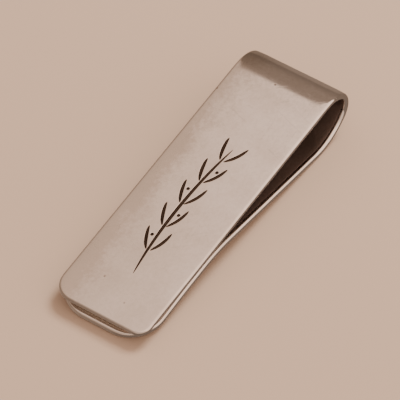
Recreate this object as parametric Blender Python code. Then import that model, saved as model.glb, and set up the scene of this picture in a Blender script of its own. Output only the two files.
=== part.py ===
"""Money clip bent from one strip of hard silver sheet.

The clip lies on a table on its fold and its tongue. +X runs from the mouth to the fold, +Y across
the strip and +Z up. The origin is on the table, under the middle of the clip.

The strip is laid out flat first: s runs along its neutral fibre from the front leaf's free end,
y across it, and n is the height above the fibre, on the side that shows on the front leaf.
Each zone of the strip is cut out of the flat sheet, rounded along its rim and then bent.
"""
import math

import bmesh
import bpy
from mathutils import Matrix, Vector

MM = 0.001

# Sheet and strip
SHEET = 1.2 * MM
STRIP_WIDTH = 17.6 * MM
RIM_RADIUS = 0.4 * MM

# Front leaf, measured along its outer face
FRONT_LENGTH = 50.4 * MM
FRONT_CORNER_LEFT = 3.5 * MM
FRONT_CORNER_RIGHT = 2.2 * MM

# Fold, radii on its outer face
LEAD_IN_LENGTH = 1.8 * MM
LEAD_IN_ANGLE = math.radians(4.0)
CROWN_RADIUS = 6.6 * MM
CROWN_ANGLE = math.radians(46.0)
NOSE_RADIUS = 3.8 * MM
NOSE_ANGLE = math.radians(95.0)
HEEL_RADIUS = 10.4 * MM

# Spring leaf and tongue, radii on the neutral fibre
KNEE_RADIUS = 28.0 * MM
CONTACT_GAP = 0.3 * MM
CONTACT_LENGTH = 4.0 * MM
TONGUE_LENGTH = 13.3 * MM
TONGUE_TURN = math.radians(2.5)
TONGUE_RADIUS = 60.0 * MM
TONGUE_REACH = 0.45 * MM
TONGUE_CORNER = 6.0 * MM

# Engraved sprig on the front leaf
CUT_WIDTH = 0.55 * MM
CUT_DEPTH = 0.3 * MM
CUT_CLEARANCE = 0.35 * MM
CUT_OVERSHOOT = 0.08 * MM
STEM_START = 9.0 * MM
STEM_LENGTH = 28.0 * MM
STEM_BOW = 1.1 * MM
LEAFLET_PAIRS = 5
FIRST_PAIR = 0.16
LAST_PAIR = 0.88
BERRY_PLACE = 0.68
LEAFLET_LENGTH = 4.6 * MM
LEAFLET_ANGLE = math.radians(34.0)
LEAFLET_CURL = math.radians(26.0)
BERRY_RADIUS = 0.36 * MM
BERRY_OFFSET = 1.0 * MM
BERRY_SIDES = 12
CUT_END = 0.12
CUT_SWELL = 0.6
STEM_SHIFT = 0.6

# Modelling
PIECE_GAP = 0.3 * MM
SHALLOWEST_SLOPE = math.radians(2.0)
STEEPEST_SLOPE = math.radians(60.0)
HALVINGS = 40
TILT_ROUNDS = 8
NEAREST_CUT = 0.05 * MM
NEAR = 0.01 * MM
WELD = 1e-8
WIDE_BEND = math.radians(20.0)
TIGHT_STEP = math.radians(5.0)
GENTLE_STEP = math.radians(1.25)
RIM_SEGMENTS = 3
CORNER_STEPS = 8
CUT_STEPS = 10
SHARP_ANGLE = math.radians(35.0)

SILVER = (0.80, 0.76, 0.71, 1.0)


def clear_scene():
    """Remove what the file holds, so that the script can be run again."""
    for item in list(bpy.data.objects):
        bpy.data.objects.remove(item, do_unlink=True)


def silver_material(name, roughness):
    """Polished silver."""
    material = bpy.data.materials.new(name)
    material.use_nodes = True
    shader = material.node_tree.nodes["Principled BSDF"]
    shader.inputs["Base Color"].default_value = SILVER
    shader.inputs["Metallic"].default_value = 1.0
    shader.inputs["Roughness"].default_value = roughness
    return material


class Run:
    """One straight or round run of the neutral fibre, in the plane of x and z."""

    def __init__(self, start, heading, length, turn):
        self.start = start
        self.heading = heading
        self.length = length
        self.turn = turn
        self.end = self.point(length, 0.0)
        self.end_heading = heading + turn

    def point(self, s, n):
        """The place of fibre length s and height n. A positive heading points down."""
        heading = self.heading
        if self.turn:
            radius = self.length / self.turn
            heading += s / radius
            x = self.start[0] + radius * (math.sin(heading) - math.sin(self.heading))
            z = self.start[1] - radius * (math.cos(self.heading) - math.cos(heading))
        else:
            x = self.start[0] + s * math.cos(heading)
            z = self.start[1] - s * math.sin(heading)
        return (x + n * math.sin(heading), z + n * math.cos(heading))


class Strip:
    """The bent strip's neutral fibre, as named runs that follow each other."""

    def __init__(self):
        self.runs = {}
        self.starts = {}
        self.length = 0.0
        self.end = (0.0, 0.0)
        self.heading = 0.0

    def add(self, name, length, turn=0.0):
        run = Run(self.end, self.heading, length, turn)
        self.runs[name] = run
        self.starts[name] = self.length
        self.length += length
        self.end = run.end
        self.heading = run.end_heading

    def start_of(self, name):
        return self.starts[name]

    def end_of(self, name):
        return self.starts[name] + self.runs[name].length

    def point(self, s, n):
        """The place in x and z of a point of the flat strip."""
        for name, run in self.runs.items():
            if s <= self.end_of(name):
                return run.point(s - self.starts[name], n)
        return run.point(s - self.starts[name], n)

    def stations(self, s0, s1):
        """Where the zone from s0 to s1 is cut across, so that it can bend."""
        cuts = []
        for name, run in self.runs.items():
            step_angle = TIGHT_STEP if abs(run.turn) > WIDE_BEND else GENTLE_STEP
            steps = max(1, math.ceil(abs(run.turn) / step_angle))
            for step in range(steps + 1):
                cuts.append(self.starts[name] + run.length * step / steps)
        return sorted({round(cut, 9) for cut in cuts if s0 + NEAREST_CUT < cut < s1 - NEAREST_CUT})


def strip_with_slope(slope):
    """The clip's side view, from the front leaf's free end to the tongue's tip.

    The spring leaf leaves the fold at this slope to the front leaf."""
    half = SHEET / 2
    strip = Strip()
    strip.add("front", FRONT_LENGTH)
    strip.add("lead_in", LEAD_IN_LENGTH, LEAD_IN_ANGLE)
    strip.add("crown", (CROWN_RADIUS - half) * CROWN_ANGLE, CROWN_ANGLE)
    strip.add("nose", (NOSE_RADIUS - half) * NOSE_ANGLE, NOSE_ANGLE)
    heel_angle = math.pi + slope - strip.heading
    strip.add("heel", (HEEL_RADIUS - half) * heel_angle, heel_angle)

    # The leaf is as long as brings it up to the front leaf's underside.
    contact_height = -(SHEET + CONTACT_GAP)
    knee_rise = KNEE_RADIUS * (1.0 - math.cos(slope))
    climb = contact_height - strip.end[1] - knee_rise
    strip.add("leaf", climb / math.sin(slope))
    strip.add("knee", KNEE_RADIUS * slope, -slope)
    strip.add("contact", CONTACT_LENGTH)
    strip.add("turn_down", TONGUE_RADIUS * TONGUE_TURN, -TONGUE_TURN)
    strip.add("tip", (strip.end[0] + TONGUE_REACH) / math.cos(TONGUE_TURN))
    return strip


def bent_strip():
    """The side view whose leaf meets the front leaf just behind the tongue, found by halving."""
    target = TONGUE_LENGTH - TONGUE_REACH + CONTACT_LENGTH
    shallow = SHALLOWEST_SLOPE
    steep = STEEPEST_SLOPE
    for _ in range(HALVINGS):
        slope = (shallow + steep) / 2
        strip = strip_with_slope(slope)
        if strip.runs["knee"].end[0] > target:
            steep = slope
        else:
            shallow = slope
    return strip


def nose_middle(strip):
    """The length along the fibre at which it points straight down, at the fold's far side."""
    run = strip.runs["nose"]
    return strip.start_of("nose") + run.length * (math.pi / 2 - run.heading) / run.turn


def rest_tilt(strip):
    """How far the front leaf leans, with the fold and the tongue both on the table."""
    half = SHEET / 2
    fold = [strip.point(s, half) for s in strip.stations(strip.start_of("nose"), strip.end_of("heel"))]
    tip = [strip.point(strip.length - RIM_RADIUS, half)]
    tilt = 0.0
    for _ in range(TILT_ROUNDS):
        def height(place):
            return place[0] * math.sin(tilt) + place[1] * math.cos(tilt)

        low_fold = min(fold, key=height)
        low_tip = min(tip, key=height)
        tilt = math.atan2(low_tip[1] - low_fold[1], low_fold[0] - low_tip[0])
    return tilt, low_fold


def plan_outline(s0, s1, corners):
    """The zone's outline in s and y, anticlockwise, with its free corners rounded.

    corners has the radii at (s0, -y), (s1, -y), (s1, +y) and (s0, +y)."""
    half = STRIP_WIDTH / 2
    places = ((s0, -half, 1, 1), (s1, -half, -1, 1), (s1, half, -1, -1), (s0, half, 1, -1))
    outline = []
    for index, (s, y, inward_s, inward_y) in enumerate(places):
        radius = corners[index]
        if not radius:
            outline.append((s, y))
            continue
        centre = Vector((s + inward_s * radius, y + inward_y * radius))
        first = math.pi + index * math.pi / 2
        for step in range(CORNER_STEPS + 1):
            angle = first + math.pi / 2 * step / CORNER_STEPS
            outline.append((centre.x + radius * math.cos(angle), centre.y + radius * math.sin(angle)))
    return outline


def strip_zone(name, strip, s0, s1, corners=(0, 0, 0, 0), free_ends=()):
    """One zone of the strip: cut flat, rim rounded, then bent.

    Its rim isn't rounded where it continues in the next zone."""
    mesh = bpy.data.meshes.new(name)
    shape = bmesh.new()
    low = -SHEET / 2
    ring = [shape.verts.new((s, y, low)) for s, y in plan_outline(s0, s1, corners)]
    blank = shape.faces.new(ring)
    lifted = bmesh.ops.extrude_face_region(shape, geom=[blank])
    top = [item for item in lifted["geom"] if isinstance(item, bmesh.types.BMVert)]
    bmesh.ops.translate(shape, verts=top, vec=(0.0, 0.0, SHEET))
    bmesh.ops.recalc_face_normals(shape, faces=shape.faces)

    closed_ends = [end for end in (s0, s1) if end not in free_ends]
    rim = []
    for edge in shape.edges:
        heights = [vert.co.z for vert in edge.verts]
        level = abs(heights[0] - heights[1]) < NEAR
        on_cut = any(all(abs(vert.co.x - end) < NEAR for vert in edge.verts)
                     for end in closed_ends)
        if level and not on_cut:
            rim.append(edge)
    bmesh.ops.bevel(shape, geom=rim, offset=RIM_RADIUS, offset_type="OFFSET", segments=RIM_SEGMENTS,
                    profile=0.5, affect="EDGES", clamp_overlap=True)

    for s in strip.stations(s0, s1):
        everything = shape.verts[:] + shape.edges[:] + shape.faces[:]
        bmesh.ops.bisect_plane(shape, geom=everything, dist=WELD, plane_co=(s, 0, 0), plane_no=(1, 0, 0))

    for vert in shape.verts:
        x, z = strip.point(vert.co.x, vert.co.z)
        vert.co = (x, vert.co.y, z)
    shape.to_mesh(mesh)
    shape.free()
    mesh.shade_smooth()
    mesh.set_sharp_from_angle(angle=SHARP_ANGLE)
    piece = bpy.data.objects.new(name, mesh)
    bpy.context.collection.objects.link(piece)
    return piece


def graver_cut(shape, route, width, depth):
    """Add a closed cutter to shape: a V that follows route and runs out to a point at both ends.

    The V is width wide at the front leaf's outer face and depth deep in its middle."""
    surface = SHEET / 2
    spread = (depth + CUT_OVERSHOOT) / depth
    rings = []
    last = len(route) - 1
    for index, here in enumerate(route):
        ahead = route[min(index + 1, last)] - route[max(index - 1, 0)]
        across = Vector((-ahead.y, ahead.x)).normalized()
        swell = CUT_END + (1 - CUT_END) * math.sin(math.pi * index / last) ** CUT_SWELL
        reach = across * (width / 2 * swell * spread)
        left = shape.verts.new((here.x + reach.x, here.y + reach.y, surface + CUT_OVERSHOOT * swell))
        right = shape.verts.new((here.x - reach.x, here.y - reach.y, surface + CUT_OVERSHOOT * swell))
        keel = shape.verts.new((here.x, here.y, surface - depth * swell))
        rings.append((left, right, keel))
    shape.faces.new(rings[0])
    shape.faces.new(reversed(rings[-1]))
    for back, front in zip(rings, rings[1:]):
        for side in range(3):
            other = (side + 1) % 3
            shape.faces.new((back[side], front[side], front[other], back[other]))


def stem_point(share):
    """A point of the sprig's stem, bowed a little to one side."""
    s = STEM_START + STEM_LENGTH * share
    return Vector((s, STEM_BOW * (math.sin(math.pi * share) - STEM_SHIFT)))


def stem_heading(share):
    """The direction in which the stem grows at a point."""
    slope = STEM_BOW * math.pi * math.cos(math.pi * share) / STEM_LENGTH
    return math.atan(slope)


def leaflet_route(share, side):
    """A curved graver stroke that springs from the stem on one side."""
    root = stem_point(share)
    heading = stem_heading(share) + LEAFLET_ANGLE * side
    here = root + Vector((math.cos(heading), math.sin(heading))) * (CUT_WIDTH / 2 + CUT_CLEARANCE)
    route = [here.copy()]
    step = LEAFLET_LENGTH / CUT_STEPS
    for _ in range(CUT_STEPS):
        here += Vector((math.cos(heading), math.sin(heading))) * step
        route.append(here.copy())
        heading -= side * LEAFLET_CURL / CUT_STEPS
    return route


def berry_cut(shape, centre):
    """Add a closed cutter to shape: a small round punch with a blunt point."""
    height = CUT_DEPTH + CUT_OVERSHOOT
    middle = SHEET / 2 + CUT_OVERSHOOT - height / 2
    bmesh.ops.create_cone(shape, cap_ends=True, segments=BERRY_SIDES, radius1=BERRY_RADIUS / 2,
                          radius2=BERRY_RADIUS, depth=height,
                          matrix=Matrix.Translation((centre.x, centre.y, middle)))


def engraving_cutter():
    """The sprig: a bowed stem, leaflets in pairs and a berry between each two pairs."""
    mesh = bpy.data.meshes.new("engraving_cutter")
    shape = bmesh.new()
    stem = [stem_point(step / (2 * CUT_STEPS)) for step in range(2 * CUT_STEPS + 1)]
    graver_cut(shape, stem, CUT_WIDTH, CUT_DEPTH)
    spacing = (LAST_PAIR - FIRST_PAIR) / (LEAFLET_PAIRS - 1)
    for pair in range(LEAFLET_PAIRS):
        share = FIRST_PAIR + spacing * pair
        for side in (-1, 1):
            graver_cut(shape, leaflet_route(share, side), CUT_WIDTH, CUT_DEPTH)
        if pair < LEAFLET_PAIRS - 1:
            place = share + spacing * BERRY_PLACE
            aside = stem_heading(place) + math.pi / 2 * (-1) ** pair
            berry_cut(shape, stem_point(place) + BERRY_OFFSET * Vector((math.cos(aside), math.sin(aside))))
    bmesh.ops.recalc_face_normals(shape, faces=shape.faces)
    shape.to_mesh(mesh)
    shape.free()
    cutter = bpy.data.objects.new("engraving_cutter", mesh)
    bpy.context.collection.objects.link(cutter)
    cutter.hide_render = True
    cutter.display_type = "WIRE"
    return cutter


def engrave(plate, cutter):
    """Cut the sprig into the front leaf's outer face."""
    cut = plate.modifiers.new("engraving", "BOOLEAN")
    cut.operation = "DIFFERENCE"
    cut.solver = "EXACT"
    cut.object = cutter


def add_empty(name, parent, location, tilt):
    """An empty that pieces hang from."""
    empty = bpy.data.objects.new(name, None)
    bpy.context.collection.objects.link(empty)
    empty.parent = parent
    empty.location = location
    empty.rotation_euler = (0.0, tilt, 0.0)
    return empty


def build():
    clear_scene()
    strip = bent_strip()
    hinge = nose_middle(strip)
    hinge_x, hinge_z = strip.point(hinge, 0.0)
    tilt, low_fold = rest_tilt(strip)

    zones = {
        "front_leaf": (0.0, strip.end_of("front")),
        "fold_upper": (strip.end_of("front"), hinge),
        "fold_lower": (hinge, strip.end_of("heel")),
        "spring_leaf": (strip.end_of("heel"), strip.end_of("contact")),
        "tongue": (strip.end_of("contact"), strip.length),
    }
    pieces = {}
    for name, (first, last) in zones.items():
        s0 = first + PIECE_GAP / 2 if first > 0.0 else first
        s1 = last - PIECE_GAP / 2 if last < strip.length else last
        corners = (0, 0, 0, 0)
        free_ends = ()
        if name == "front_leaf":
            corners = (FRONT_CORNER_RIGHT, 0, 0, FRONT_CORNER_LEFT)
            free_ends = (s0,)
        if name == "tongue":
            corners = (0, TONGUE_CORNER, TONGUE_CORNER, 0)
            free_ends = (s1,)
        pieces[name] = strip_zone(name, strip, s0, s1, corners, free_ends)

    cutter = engraving_cutter()
    engrave(pieces["front_leaf"], cutter)

    # The leaning clip is set down on the table with its middle over the origin.
    sine = math.sin(tilt)
    cosine = math.cos(tilt)
    floor = low_fold[0] * sine + low_fold[1] * cosine
    nose_reach = strip.point(hinge, SHEET / 2)
    far = nose_reach[0] * cosine - nose_reach[1] * sine
    tip = strip.point(strip.length, 0.0)
    near = tip[0] * cosine - tip[1] * sine
    rest = add_empty("rest_on_table", None, (-(far + near) / 2, 0.0, -floor), -tilt)
    axis = add_empty("opening_axis", rest, (hinge_x, 0.0, hinge_z), 0.0)

    for name in ("front_leaf", "fold_upper"):
        pieces[name].parent = rest
    cutter.parent = rest
    for name in ("fold_lower", "spring_leaf", "tongue"):
        pieces[name].data.transform(Matrix.Translation((-hinge_x, 0.0, -hinge_z)))
        pieces[name].parent = axis

    for name, piece in pieces.items():
        roughness = 0.28 if name == "front_leaf" else 0.22
        piece.data.materials.append(silver_material(name + "_silver", roughness))


build()
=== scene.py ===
# %% [markdown]
# # A silver money clip
#
# A money clip is one strip of hard silver sheet, bent over on itself. The front leaf is the
# flat, engraved side. The fold is the spring. The leaf behind it rises until it nips the front
# leaf, and its last part, the tongue, turns away a little to let the notes in.
#
# The frame brings the clip's joint and its plain solids. This lesson models the visible metal
# over them and leaves the solids as they are.

# %% Load the frame
import math

import bpy
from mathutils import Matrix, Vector


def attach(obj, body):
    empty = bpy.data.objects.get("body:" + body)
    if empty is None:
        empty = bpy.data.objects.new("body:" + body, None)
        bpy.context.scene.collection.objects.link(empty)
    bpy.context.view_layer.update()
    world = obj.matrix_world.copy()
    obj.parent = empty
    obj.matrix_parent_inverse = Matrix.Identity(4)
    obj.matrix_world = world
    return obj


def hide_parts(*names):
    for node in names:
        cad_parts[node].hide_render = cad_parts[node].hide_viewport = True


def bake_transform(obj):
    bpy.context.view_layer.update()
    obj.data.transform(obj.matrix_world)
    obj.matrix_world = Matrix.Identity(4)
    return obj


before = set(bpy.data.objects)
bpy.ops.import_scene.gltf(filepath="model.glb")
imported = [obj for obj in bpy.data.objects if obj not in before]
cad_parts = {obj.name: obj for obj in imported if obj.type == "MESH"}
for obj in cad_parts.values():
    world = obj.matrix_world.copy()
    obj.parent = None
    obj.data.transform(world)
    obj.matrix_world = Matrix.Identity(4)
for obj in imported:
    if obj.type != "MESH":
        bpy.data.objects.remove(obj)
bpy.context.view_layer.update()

# %% [markdown]
# The strip is modelled with its front leaf lying flat, x running from the mouth to the fold.
# Lengths are taken along the middle of the sheet. At the end the strip is tipped by TILT and
# set down, so that it rests on its fold and its tongue.

# %% Sizes and a few helpers
MM = 0.001
SHEET = 1.2 * MM
WIDTH = 17.6 * MM
FRONT = 50.4 * MM
CORNER_LEFT = 3.5 * MM
CORNER_RIGHT = 2.2 * MM
TONGUE_CORNER = 6.0 * MM
RIM = 0.48 * MM
CORE = 1.04 * MM
TOUCH = 0.1 * MM
TILT = math.radians(7.6367)
SET_DOWN = Vector((-28.8 * MM, 0.0, 2.586 * MM))


def only(piece):
    """Select one object and make it active."""
    bpy.ops.object.select_all(action="DESELECT")
    piece.select_set(True)
    bpy.context.view_layer.objects.active = piece


def pick(piece, kind, test):
    """Go to edit mode with just those vertices, edges or faces selected that pass a test."""
    only(piece)
    bpy.ops.object.mode_set(mode="EDIT")
    bpy.ops.mesh.select_mode(type=kind)
    bpy.ops.mesh.select_all(action="DESELECT")
    bpy.ops.object.mode_set(mode="OBJECT")
    mesh = piece.data
    items = {"VERT": mesh.vertices, "EDGE": mesh.edges, "FACE": mesh.polygons}[kind]
    for item in items:
        item.select = test(item)
    bpy.ops.object.mode_set(mode="EDIT")


def pick_slot(piece, index):
    """Go to edit mode with the faces of one material slot selected."""
    only(piece)
    bpy.ops.object.mode_set(mode="EDIT")
    bpy.ops.mesh.select_mode(type="FACE")
    bpy.ops.mesh.select_all(action="DESELECT")
    piece.active_material_index = index
    bpy.ops.object.material_slot_select()


def done():
    """Go back to object mode."""
    bpy.ops.object.mode_set(mode="OBJECT")


def apply(piece, kind, **settings):
    """Add a modifier, set it and apply it."""
    only(piece)
    modifier = piece.modifiers.new(kind.title(), kind)
    for name, value in settings.items():
        setattr(modifier, name, value)
    bpy.ops.object.modifier_apply(modifier=modifier.name)


# %% [markdown]
# ## The metals
#
# The silver is polished by hand on a soft wheel and has been carried in a pocket since. It
# still mirrors the light, but softly: the polish is a little cloudy, it has hair scratches in
# all directions and a few small pits. The wheel leaves the sheet very slightly wavy as well.
#
# The wear is made once, as a node group, and each silver takes its own share of it. Scales
# count cells per metre, and a hair is given by its length, width and depth in metres.

# %% The wear group
FINE_CLOUD = 1500.0
BROAD_CLOUD = 170.0
BREAK_UP = 0.012
PIT_CELLS = 420.0
PIT_PATCHES = 210.0
WAVES = 95.0
HAIR = (0.014, 0.0002, 0.014)
HAIR_BREAKS = 160.0
HAIR_SETS = ((0.35, (0.3, 0.1, 0.0)), (1.25, (0.7, 0.4, 0.0)),
             (2.30, (0.1, 0.9, 0.0)), (0.05, (0.5, 0.2, 0.0)))


def new_node(tree, kind, **settings):
    """Add a node and set its properties."""
    node = tree.nodes.new(kind)
    for name, value in settings.items():
        setattr(node, name, value)
    return node


def put(node, **values):
    """Set a node's sockets by name, with underscores for spaces."""
    for name, value in values.items():
        node.inputs[name.replace("_", " ")].default_value = value


def ramp(tree, value, low, high, to_low=0.0, to_high=1.0, soft=True):
    """Go from one value to another between low and high, softly or in a straight line."""
    node = new_node(tree, "ShaderNodeMapRange")
    if soft:
        node.interpolation_type = "SMOOTHSTEP"
    put(node, From_Min=low, From_Max=high, To_Min=to_low, To_Max=to_high)
    tree.links.new(value, node.inputs["Value"])
    return node.outputs["Result"]


def calc(tree, operation, first, second=0.0):
    """One sum with values or sockets."""
    node = new_node(tree, "ShaderNodeMath", operation=operation)
    for index, item in enumerate((first, second)):
        if isinstance(item, (int, float)):
            node.inputs[index].default_value = item
        else:
            tree.links.new(item, node.inputs[index])
    return node.outputs["Value"]


def noise(tree, place, scale, detail=2.0, rough=0.5):
    """Clouds around 0.5."""
    node = new_node(tree, "ShaderNodeTexNoise")
    put(node, Scale=scale, Detail=detail, Roughness=rough)
    tree.links.new(place, node.inputs["Vector"])
    return node.outputs["Fac"]


def placed(tree, turn=(0.0, 0.0, 0.0), scale=(1.0, 1.0, 1.0), shift=(0.0, 0.0, 0.0)):
    """Object coordinates, turned and then stretched."""
    source = new_node(tree, "ShaderNodeTexCoord")
    mapping = new_node(tree, "ShaderNodeMapping", vector_type="TEXTURE")
    put(mapping, Rotation=turn, Scale=scale, Location=shift)
    tree.links.new(source.outputs["Object"], mapping.inputs["Vector"])
    return mapping.outputs["Vector"]


def hair(tree, turn, shift):
    """Hair scratches in about one direction, broken up in short lengths: 1 in a scratch."""
    place = placed(tree, turn=(0.0, 0.0, turn), scale=HAIR, shift=shift)
    lines = ramp(tree, noise(tree, place, 1.0, detail=0.0), 0.70, 0.76)
    breaks = ramp(tree, noise(tree, placed(tree, shift=shift), HAIR_BREAKS), 0.52, 0.60)
    return calc(tree, "MULTIPLY", lines, breaks)


def wear_group():
    """A group that gives Cloud, Haze, Rub, Scratch, Pit and Wave."""
    tree = bpy.data.node_groups.new("wear of the polish", "ShaderNodeTree")
    for name in ("Cloud", "Haze", "Rub", "Scratch", "Pit", "Wave"):
        tree.interface.new_socket(name=name, in_out="OUTPUT", socket_type="NodeSocketFloat")
    out = new_node(tree, "NodeGroupOutput")
    place = placed(tree)

    # The polish is cloudy in two sizes.
    fine = noise(tree, place, FINE_CLOUD, detail=4.0, rough=0.7)
    broad = noise(tree, place, BROAD_CLOUD, detail=3.0, rough=0.55)
    cloud = calc(tree, "ADD", calc(tree, "MULTIPLY", fine, 0.45),
                 calc(tree, "MULTIPLY", broad, 0.55))
    tree.links.new(ramp(tree, cloud, 0.30, 0.70), out.inputs["Cloud"])

    # Handling leaves a haze, most along one side and a little towards the mouth.
    across = new_node(tree, "ShaderNodeSeparateXYZ")
    tree.links.new(place, across.inputs["Vector"])
    broken = calc(tree, "MULTIPLY", calc(tree, "SUBTRACT", cloud, 0.5), BREAK_UP)
    side = calc(tree, "ADD", across.outputs["Y"], broken)
    haze = calc(tree, "ADD", ramp(tree, side, 2.5 * MM, 10.0 * MM, 0.0, 0.7),
                ramp(tree, side, -9.0 * MM, 7.0 * MM, 0.0, 0.4, soft=False))
    haze = calc(tree, "ADD", haze,
                ramp(tree, across.outputs["X"], 22.0 * MM, -26.0 * MM, 0.0, 0.3))
    tree.links.new(haze, out.inputs["Haze"])

    # The notes rub only the part near the mouth, and the inside's painted shade ends there.
    inward = calc(tree, "ADD", across.outputs["X"], broken)
    tree.links.new(ramp(tree, inward, -12.0 * MM, -18.0 * MM), out.inputs["Rub"])

    # The scratches run in four directions.
    scratch = hair(tree, *HAIR_SETS[0])
    for turn, shift in HAIR_SETS[1:]:
        scratch = calc(tree, "MAXIMUM", scratch, hair(tree, turn, shift))
    tree.links.new(scratch, out.inputs["Scratch"])

    # The pits are dots in the middle of cells, and come in patches.
    cells = new_node(tree, "ShaderNodeTexVoronoi", feature="F1")
    put(cells, Scale=PIT_CELLS, Randomness=1.0)
    tree.links.new(place, cells.inputs["Vector"])
    dots = ramp(tree, cells.outputs["Distance"], 0.05, 0.11, 1.0, 0.0)
    some = ramp(tree, noise(tree, place, PIT_PATCHES), 0.57, 0.62)
    tree.links.new(calc(tree, "MULTIPLY", dots, some), out.inputs["Pit"])
    tree.links.new(noise(tree, place, WAVES, detail=1.0), out.inputs["Wave"])
    return tree


wear = wear_group()
print("wear group", [item.name for item in wear.interface.items_tree])

# %% [markdown]
# Outer silver and inner silver are the same metal. The inside is never polished: it is duller,
# and its darker, browner colour is partly tarnish and partly painted shade of the clip's
# interior. Only near the mouth the notes rub it bright, and there the painted shade ends. The
# grooves are filled with dark patina, which is what makes an engraving readable on a bright
# sheet, and beside them the silver is rubbed down with a hard steel burnisher, which leaves it
# brighter than the rest.

# %% The metals


def blended(tree, share, first, second):
    """Mix two colours or colour sockets."""
    node = new_node(tree, "ShaderNodeMix", data_type="RGBA")
    tree.links.new(share, node.inputs["Factor"])
    sides = [socket for socket in node.inputs if socket.type == "RGBA"]
    for side, item in zip(sides, (first, second)):
        if isinstance(item, tuple):
            side.default_value = item
        else:
            tree.links.new(item, side)
    return [socket for socket in node.outputs if socket.type == "RGBA"][0]


def metal(name, base, worn, hazy, pitted, rough, cloudy, wave, rubbed=None):
    """A worn metal.

    base and worn are the colours of clear and of cloudy polish, hazy that of handled metal and
    pitted that of the pits. rough is the roughness of clear polish and cloudy what cloudiness
    adds to it. wave is the height of the waves in millimetres. rubbed is the colour near the
    mouth, if that is rubbed bright.
    """
    material = bpy.data.materials.new(name)
    material.use_nodes = True
    tree = material.node_tree
    shader = tree.nodes["Principled BSDF"]
    put(shader, Metallic=1.0)
    group = new_node(tree, "ShaderNodeGroup")
    group.node_tree = wear
    colour = blended(tree, group.outputs["Cloud"], base, worn)
    colour = blended(tree, group.outputs["Haze"], colour, hazy)
    if rubbed:
        colour = blended(tree, group.outputs["Rub"], colour, rubbed)
    colour = blended(tree, group.outputs["Pit"], colour, pitted)
    tree.links.new(colour, shader.inputs["Base Color"])
    dull = calc(tree, "MULTIPLY_ADD", group.outputs["Cloud"], cloudy)
    dull.node.inputs[2].default_value = rough
    for mark, share in (("Scratch", 0.10), ("Haze", 0.06)):
        dull = calc(tree, "ADD", dull, calc(tree, "MULTIPLY", group.outputs[mark], share))
    tree.links.new(dull, shader.inputs["Roughness"])
    height = calc(tree, "MULTIPLY", group.outputs["Wave"], wave)
    for mark, depth in (("Scratch", 0.0010), ("Pit", 0.02)):
        height = calc(tree, "SUBTRACT", height,
                      calc(tree, "MULTIPLY", group.outputs[mark], depth))
    bump = new_node(tree, "ShaderNodeBump")
    put(bump, Strength=1.0, Distance=MM)
    tree.links.new(height, bump.inputs["Height"])
    tree.links.new(bump.outputs["Normal"], shader.inputs["Normal"])
    return material


outside = metal("polished silver", base=(0.90, 0.84, 0.80, 1.0), worn=(0.79, 0.72, 0.67, 1.0),
                hazy=(0.56, 0.49, 0.43, 1.0), pitted=(0.25, 0.19, 0.15, 1.0),
                rough=0.05, cloudy=0.08, wave=0.02)
burnished = metal("burnished silver", base=(0.95, 0.90, 0.86, 1.0), worn=(0.90, 0.84, 0.80, 1.0),
                  hazy=(0.80, 0.72, 0.66, 1.0), pitted=(0.25, 0.19, 0.15, 1.0),
                  rough=0.03, cloudy=0.04, wave=0.01)
# The inner silver's dark colours are painted shade of the clip's interior over real tarnish; near
# the mouth it takes the lighter rubbed colour, where that painted shade ends.
inside = metal("tarnished silver with painted shade", base=(0.34, 0.27, 0.23, 1.0), worn=(0.22, 0.16, 0.14, 1.0),
               hazy=(0.22, 0.16, 0.14, 1.0), pitted=(0.16, 0.10, 0.07, 1.0),
               rough=0.40, cloudy=0.20, wave=0.05, rubbed=(0.76, 0.67, 0.56, 1.0))
patina = metal("dark patina", base=(0.050, 0.032, 0.022, 1.0), worn=(0.10, 0.070, 0.050, 1.0),
               hazy=(0.06, 0.042, 0.032, 1.0), pitted=(0.02, 0.012, 0.008, 1.0),
               rough=0.40, cloudy=0.25, wave=0.08)
print("metals", [item.name for item in (outside, burnished, inside, patina)])

# %% [markdown]
# ## The strip
#
# The strip starts as a flat blank, the front leaf. Its far edge is spun around one bending
# mandrel after the other and drawn straight between them. What comes out is the middle surface
# of the sheet, without thickness yet.
#
# Each run has a name, then the mandrel's radius in millimetres, the turn in degrees and the
# number of steps. A positive turn bends the strip down, away from its face. A straight run has
# no radius, and its length in millimetres in place of the turn.

# %% Bend the strip
RUNS = (("lead-in", 25.78, 4.0, 4),
        ("crown", 6.0, 46.0, 34),
        ("nose", 3.2, 95.0, 70),
        ("heel", 9.8, 49.0, 36),
        ("back leaf", None, 24.885, 1),
        ("knee", 28.0, -14.0, 14),
        ("contact", None, 4.0, 1),
        ("turn of the tongue", 60.0, -2.5, 3),
        ("tongue", None, 10.69, 1))


def across(heading):
    """The direction out of the face, where the strip runs at this heading."""
    return Vector((math.sin(heading), 0.0, math.cos(heading)))


bpy.ops.object.select_all(action="DESELECT")
bpy.ops.mesh.primitive_plane_add(size=1.0, location=(FRONT / 2, 0.0, 0.0))
strip = bpy.context.object
strip.name = "front_leaf_and_fold"
strip.scale = (FRONT, WIDTH, 1.0)
bpy.ops.object.transform_apply(location=True, rotation=True, scale=True)
pick(strip, "EDGE", lambda edge: all(strip.data.vertices[i].co.x > FRONT - TOUCH
                                     for i in edge.vertices))

end = Vector((FRONT, 0.0, 0.0))
heading = 0.0
for name, radius, amount, steps in RUNS:
    if radius is None:
        ahead = Vector((math.cos(heading), 0.0, -math.sin(heading))) * (amount * MM)
        bpy.ops.mesh.extrude_region_move(TRANSFORM_OT_translate={"value": ahead})
        end = end + ahead
    else:
        reach = math.copysign(radius * MM, amount)
        angle = math.radians(amount)
        centre = end - across(heading) * reach
        bpy.ops.mesh.spin(steps=steps, angle=-angle, center=centre, axis=(0.0, 1.0, 0.0))
        heading += angle
        end = centre + across(heading) * reach
    print(name, "ends at", [round(value * 1000, 2) for value in end], "mm")
done()

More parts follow.
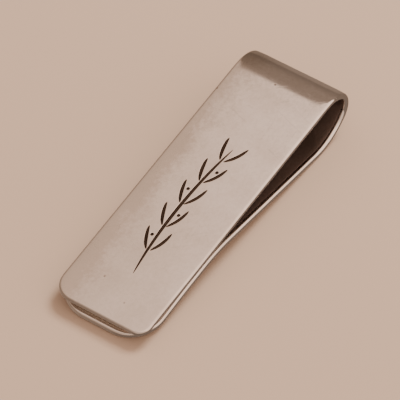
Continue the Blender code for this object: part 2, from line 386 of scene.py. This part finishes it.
# %% [markdown]
# The free corners are rounded while the sheet is still a surface: a small and a larger one at
# the mouth, where years of use wore one more than the other, and two wide ones on the tongue.

# %% Round the corners
def at_mouth(co):
    """On the free edge of the front leaf."""
    return abs(co.x) < TOUCH and co.z > -MM


def at_tongue(co):
    """On the free edge of the tongue."""
    return co.x < end.x + TOUCH and co.z < -MM


for radius, side, near in ((CORNER_LEFT, 1.0, at_mouth), (CORNER_RIGHT, -1.0, at_mouth),
                           (TONGUE_CORNER, 1.0, at_tongue), (TONGUE_CORNER, -1.0, at_tongue)):
    pick(strip, "VERT", lambda vertex: near(vertex.co) and vertex.co.y * side > WIDTH / 2 - TOUCH)
    bpy.ops.mesh.bevel(offset=radius, segments=12, affect="VERTICES")
    done()
print("outline", len(strip.data.vertices), "vertices")

# %% [markdown]
# Now the sheet gets its thickness. The three slots keep the face, the back and the rim apart.
# The rim is rounded, and then both faces are drawn inwards in small steps, each a little higher
# than the last: a polishing wheel takes more off the border than off the middle, and without
# that the mirror looks cut from glass. The rim is polished like the face, so it joins its slot.
#
# Each step has a width and a rise in millimetres.

# %% Thicken the sheet and soften its rim
FACE, BACK, EDGE = 0, 1, 2
CROWNING = ((FACE, ((0.35, 0.030), (0.45, 0.022), (0.60, 0.013), (0.30, 0.005))),
            (BACK, ((0.30, 0.070), (0.35, 0.015), (0.50, 0.005))))
for material in (outside, inside, outside):
    strip.data.materials.append(material)
pick(strip, "FACE", lambda face: True)
bpy.ops.mesh.normals_make_consistent(inside=False)
done()
if max(strip.data.polygons, key=lambda face: face.area).normal.z < 0.0:
    strip.data.flip_normals()
apply(strip, "SOLIDIFY", thickness=CORE, offset=0.01, use_even_offset=True,
      material_offset=BACK, material_offset_rim=EDGE)
pick_slot(strip, EDGE)
bpy.ops.mesh.region_to_loop()
bpy.ops.mesh.bevel(offset=RIM, segments=6, affect="EDGES", material=EDGE)
done()
for slot, steps in CROWNING:
    pick_slot(strip, slot)
    strip.active_material_index = FACE
    bpy.ops.object.material_slot_assign()
    for width, rise in steps:
        bpy.ops.mesh.inset(thickness=width * MM, depth=rise * MM, use_boundary=True,
                           use_even_offset=True)
        strip.active_material_index = slot
        bpy.ops.object.material_slot_assign()
    done()
pick_slot(strip, EDGE)
strip.active_material_index = FACE
bpy.ops.object.material_slot_assign()
done()
strip.active_material_index = EDGE
bpy.ops.object.material_slot_remove()
print("sheet", len(strip.data.polygons), "faces",
      [round(value * 1000, 2) for value in strip.dimensions], "mm")

# %% [markdown]
# ## Two pieces
#
# The clip opens by flexing in the fold. The front leaf, the fold and the first bit of the back
# make one piece; the rest of the back is a second piece, one stiff leaf. So the strip is
# copied, and each copy loses its other part at the same cut across the back.

# %% Cut the back off
CUT_PLACE = Vector((45.5 * MM, 0.0, -7.784 * MM))
CUT_HEADING = math.radians(194.0)
UNDER_FRONT = -0.75 * MM
CLEAR_OF_ARM = -0.8 * MM

along = Vector((math.cos(CUT_HEADING), 0.0, -math.sin(CUT_HEADING)))
only(strip)
bpy.ops.object.duplicate()
arm = bpy.context.object
arm.name = "spring_leaf_and_tongue"
for piece, drop in ((strip, "clear_outer"), (arm, "clear_inner")):
    pick(piece, "VERT", lambda vertex: vertex.co.z < UNDER_FRONT)
    bpy.ops.mesh.bisect(plane_co=CUT_PLACE, plane_no=along, use_fill=True, **{drop: True})
    done()
pick(arm, "VERT", lambda vertex: vertex.co.z > CLEAR_OF_ARM)
bpy.ops.mesh.delete(type="VERT")
done()
print("front piece", len(strip.data.polygons), "faces, back piece", len(arm.data.polygons))

# %% [markdown]
# ## The engraving
#
# A graver cuts a groove that swells and runs out to a point. A ball pulled out long and thin
# has just that shape, so each groove is cut with one: a bowed one for the stem, and shorter,
# curlier ones for the leaflets. The berries between them are set with a round punch. One
# leaflet and one berry are made and the others are copies, half of the leaflets mirrored.
#
# Lengths are in millimetres, angles in degrees, and places along the stem are shares of it.

# %% Model the sprig's cutters
STEM_START = 9.0
STEM_LENGTH = 28.0
STEM_BOW = 1.1
STEM_SHIFT = 0.6
STEM_CURL = -18.0
LEAFLET_LENGTH = 4.6
LEAFLET_ANGLE = 34.0
LEAFLET_CURL = 26.0
LEAFLET_ROOT = 0.62
LEAFLET_SHIFT = 0.26
FIRST_PAIR = 0.16
LAST_PAIR = 0.88
PAIRS = 5
BERRY_PLACE = 0.68
BERRY_OFFSET = 0.88


def spindle(name, length, width, depth, curl, rings):
    """A long thin ball along x, bent towards +y or -y."""
    bpy.ops.object.select_all(action="DESELECT")
    bpy.ops.mesh.primitive_uv_sphere_add(segments=24, ring_count=rings, radius=1.0)
    ball = bpy.context.object
    ball.name = name
    ball.rotation_euler = (0.0, math.pi / 2, 0.0)
    bpy.ops.object.transform_apply(location=True, rotation=True, scale=True)
    ball.scale = (length / 2 * MM, width / 2 * MM, depth * MM)
    bpy.ops.object.transform_apply(location=True, rotation=True, scale=True)
    apply(ball, "SIMPLE_DEFORM", deform_method="BEND", deform_axis="Z", angle=math.radians(curl))
    return ball


def stem_point(share):
    """A place on the bowed stem."""
    bow = STEM_BOW * (math.sin(math.pi * share) - STEM_SHIFT)
    return Vector((STEM_START + STEM_LENGTH * share, bow)) * MM


def stem_heading(share):
    """The direction of the bowed stem at a place on it."""
    return math.atan(STEM_BOW * math.pi * math.cos(math.pi * share) / STEM_LENGTH)


def ahead_of(heading, length):
    """A step of some millimetres in a direction."""
    return Vector((math.cos(heading), math.sin(heading))) * (length * MM)


def copy_of(piece):
    """A copy with its own mesh."""
    only(piece)
    bpy.ops.object.duplicate()
    return bpy.context.object


def set_at(piece, place, turn, lift, mirrored=False):
    """Put a cutter on the face of the front leaf."""
    only(piece)
    piece.scale = (1.0, -1.0 if mirrored else 1.0, 1.0)
    piece.rotation_euler = (0.0, 0.0, turn)
    piece.location = (place.x, place.y, SHEET / 2 + lift * MM)
    bpy.ops.object.transform_apply(location=True, rotation=True, scale=True)


def sprig(name, width, depth, lift, material):
    """All the sprig's cutters as one object."""
    stem = spindle("stem", STEM_LENGTH, width, depth, STEM_CURL, 48)
    set_at(stem, stem_point(0.5), 0.0, lift)
    leaflet = spindle("leaflet", LEAFLET_LENGTH, width, depth, -LEAFLET_CURL, 24)
    bpy.ops.object.select_all(action="DESELECT")
    bpy.ops.mesh.primitive_uv_sphere_add(segments=20, ring_count=12, radius=1.0)
    berry = bpy.context.object
    berry.scale = (width / 2 * MM, width / 2 * MM, depth * MM)
    bpy.ops.object.transform_apply(location=True, rotation=True, scale=True)

    pieces = [stem]
    spacing = (LAST_PAIR - FIRST_PAIR) / (PAIRS - 1)
    for pair in range(PAIRS):
        share = FIRST_PAIR + spacing * pair
        for side in (-1, 1):
            away = stem_heading(share) + math.radians(LEAFLET_ANGLE) * side
            heading = away - math.radians(LEAFLET_CURL / 2) * side
            place = stem_point(share) + ahead_of(away, LEAFLET_ROOT)
            place += ahead_of(heading, LEAFLET_LENGTH / 2)
            place += ahead_of(heading + math.pi / 2, LEAFLET_SHIFT * side)
            pieces.append(copy_of(leaflet))
            set_at(pieces[-1], place, heading, lift, mirrored=side < 0)
        if pair < PAIRS - 1:
            share += spacing * BERRY_PLACE
            aside = stem_heading(share) + math.pi / 2 * (-1) ** pair
            pieces.append(copy_of(berry))
            set_at(pieces[-1], stem_point(share) + ahead_of(aside, BERRY_OFFSET), 0.0, lift)
    bpy.data.objects.remove(leaflet)
    bpy.data.objects.remove(berry)

    bpy.ops.object.select_all(action="DESELECT")
    for piece in pieces:
        piece.select_set(True)
    bpy.context.view_layer.objects.active = stem
    bpy.ops.object.join()
    stem.name = name
    bpy.ops.object.mode_set(mode="EDIT")
    bpy.ops.mesh.select_all(action="SELECT")
    bpy.ops.mesh.normals_make_consistent(inside=False)
    done()
    stem.data.materials.clear()
    stem.data.materials.append(material)
    return stem


burnisher = sprig("burnisher", width=0.84, depth=0.14, lift=0.07, material=burnished)
graver = sprig("graver", width=0.58, depth=0.30, lift=0.0, material=patina)
print("burnisher", len(burnisher.data.polygons), "faces,",
      "graver", len(graver.data.polygons), "faces")

# %% [markdown]
# The groove is cut twice. The first cut is wide and very shallow: it is where the engraver rubs
# the burr down, and it catches the light as a thin bright line beside the dark groove. The
# cuts bring their own materials, in the slots after those of the face and the back, and their
# borders are kept sharp.

# %% Cut the engraving
FIRST_CUT_SLOT = 2

for cutter in (burnisher, graver):
    apply(strip, "BOOLEAN", operation="DIFFERENCE", solver="EXACT", object=cutter,
          material_mode="TRANSFER", use_self=True)
    bpy.data.objects.remove(cutter)
for index in range(FIRST_CUT_SLOT, len(strip.data.materials)):
    pick_slot(strip, index)
    bpy.ops.mesh.region_to_loop()
    bpy.ops.mesh.mark_sharp()
    done()
print("engraved piece", len(strip.data.polygons), "faces,", len(strip.data.materials), "slots")

# %% [markdown]
# The clip is tipped and set down on the table, and both pieces are shaded smooth up to an
# angle that leaves only the graver's cuts sharp.

# %% Set the clip down
for piece in (strip, arm):
    only(piece)
    piece.rotation_euler = (0.0, -TILT, 0.0)
    piece.location = SET_DOWN
    bpy.ops.object.transform_apply(location=True, rotation=True, scale=True)
    bpy.ops.object.shade_smooth_by_angle(angle=math.radians(20.0))
    low = min(vertex.co.z for vertex in piece.data.vertices)
    print(piece.name, "lowest point", round(low * 1000, 3), "mm")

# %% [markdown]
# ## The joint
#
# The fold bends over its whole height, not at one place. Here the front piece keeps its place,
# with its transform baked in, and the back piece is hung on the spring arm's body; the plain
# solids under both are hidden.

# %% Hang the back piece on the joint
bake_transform(strip)
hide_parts("front_leaf", "fold_upper", "fold_lower")
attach(arm, "spring_arm")
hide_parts("spring_leaf", "tongue")

# %% [markdown]
# ## The table and the light
#
# Polished silver shows what is around it, so the studio is drawn as a whole: one large warm
# softbox overhead that ends in a straight edge over the fold, dim brown walls, and a brown
# bench below. The plain table is only there to stand on.

# %% Table
bpy.ops.object.select_all(action="DESELECT")
bpy.ops.mesh.primitive_plane_add(size=1.6)
floor = bpy.context.object
floor.name = "table"
paint = bpy.data.materials.new("pale table")
paint.use_nodes = True
put(paint.node_tree.nodes["Principled BSDF"], Base_Color=(0.52, 0.40, 0.31, 1.0), Roughness=0.8)
floor.data.materials.append(paint)
floor.visible_glossy = False
print("table", [round(value, 2) for value in floor.dimensions], "m")

# %% [markdown]
# The studio is drawn by direction, as the surroundings of the clip. The softbox is laid out on
# a ceiling one unit above it, where x and y are the direction's own, divided by its height.
# Its edge is straight in the middle and runs further out on both sides. Its light is strongest
# at low y and gets weaker towards high y and low x. The key light lights the table and gives
# the soft shadow, and the metal doesn't mirror it.

# %% Studio
HORIZON = 0.03
LOWEST_CEILING = 0.02
BOX_MIDDLE = 0.46
BOX_STRAIGHT = 0.08
BOX_FALL = 0.9
BOX_EDGE = (0.50, 0.53)
BOX_LIGHT = 0.90

studio = bpy.data.worlds.new("studio")
studio.use_nodes = True
bpy.context.scene.world = studio
tree = studio.node_tree
back = tree.nodes["Background"]
way = new_node(tree, "ShaderNodeTexCoord")
split = new_node(tree, "ShaderNodeSeparateXYZ")
tree.links.new(way.outputs["Generated"], split.inputs["Vector"])
height = split.outputs["Z"]
up = calc(tree, "MAXIMUM", height, LOWEST_CEILING)
over_x = calc(tree, "DIVIDE", split.outputs["X"], up)
over_y = calc(tree, "DIVIDE", split.outputs["Y"], up)

aside = calc(tree, "ABSOLUTE", calc(tree, "SUBTRACT", over_y, BOX_MIDDLE))
beyond = calc(tree, "MAXIMUM", calc(tree, "SUBTRACT", aside, BOX_STRAIGHT), 0.0)
flare = calc(tree, "MULTIPLY", beyond, BOX_FALL)
box = ramp(tree, calc(tree, "SUBTRACT", over_x, flare), *BOX_EDGE, 1.0, 0.0)
for place, low, high, to_low, to_high in ((over_y, 0.30, 1.60, 1.0, 0.40),
                                          (over_y, -0.60, 0.40, 1.6, 1.0),
                                          (over_x, -0.90, -0.20, 0.45, 1.0)):
    box = calc(tree, "MULTIPLY", box, ramp(tree, place, low, high, to_low, to_high))

walls = ramp(tree, height, 0.0, 0.65, 0.22, 0.32)
sky = calc(tree, "ADD", walls, calc(tree, "MULTIPLY", box, BOX_LIGHT))
above_bench = calc(tree, "MULTIPLY", sky, ramp(tree, height, -HORIZON, HORIZON))
bench = calc(tree, "MULTIPLY", ramp(tree, height, -HORIZON, HORIZON, 1.0, 0.0),
             ramp(tree, split.outputs["Y"], 0.10, 0.80, 0.24, 0.50))
tint = blended(tree, ramp(tree, box, 0.1, 0.9), (1.0, 0.72, 0.55, 1.0), (1.0, 0.745, 0.60, 1.0))
tree.links.new(tint, back.inputs["Color"])
tree.links.new(calc(tree, "ADD", above_bench, bench), back.inputs["Strength"])

bpy.ops.object.light_add(type="AREA", location=(0.42, -0.10, 0.62))
key = bpy.context.object
key.name = "key light"
key.data.size = 0.30
key.data.energy = 6.0
key.data.color = (1.0, 0.90, 0.82)
key.visible_glossy = False
key.rotation_euler = (-key.location).to_track_quat("-Z", "Y").to_euler()
print("studio", len(tree.nodes), "nodes, key light", key.data.energy, "W")

# %% [markdown]
# ## The camera
#
# The camera looks down on the clip from beside its mouth, through a long lens from well away,
# so that the sides of the strip stay nearly parallel.

# %% Camera
AZIMUTH = math.radians(-55.55)
ELEVATION = math.radians(47.63)
DISTANCE = 0.770
CLIP_MIDDLE = Vector((0.0, 0.0, 5.0 * MM))
AIM_LEFT = 0.307 * MM
AIM_DOWN = 1.399 * MM

back_way = Vector((math.sin(AZIMUTH) * math.cos(ELEVATION),
                   -math.cos(AZIMUTH) * math.cos(ELEVATION),
                   math.sin(ELEVATION)))
right = Vector((math.cos(AZIMUTH), math.sin(AZIMUTH), 0.0))
above = back_way.cross(right)
target = CLIP_MIDDLE - right * AIM_LEFT - above * AIM_DOWN
bpy.ops.object.camera_add(location=target + back_way * DISTANCE)
camera = bpy.context.object
camera.name = "camera"
camera.data.sensor_width = 36.0
camera.data.lens = 440.4
camera.data.clip_end = 10.0
camera.rotation_euler = back_way.to_track_quat("Z", "Y").to_euler()
bpy.context.scene.camera = camera
print("camera looks at", [round(value * 1000, 2) for value in target])
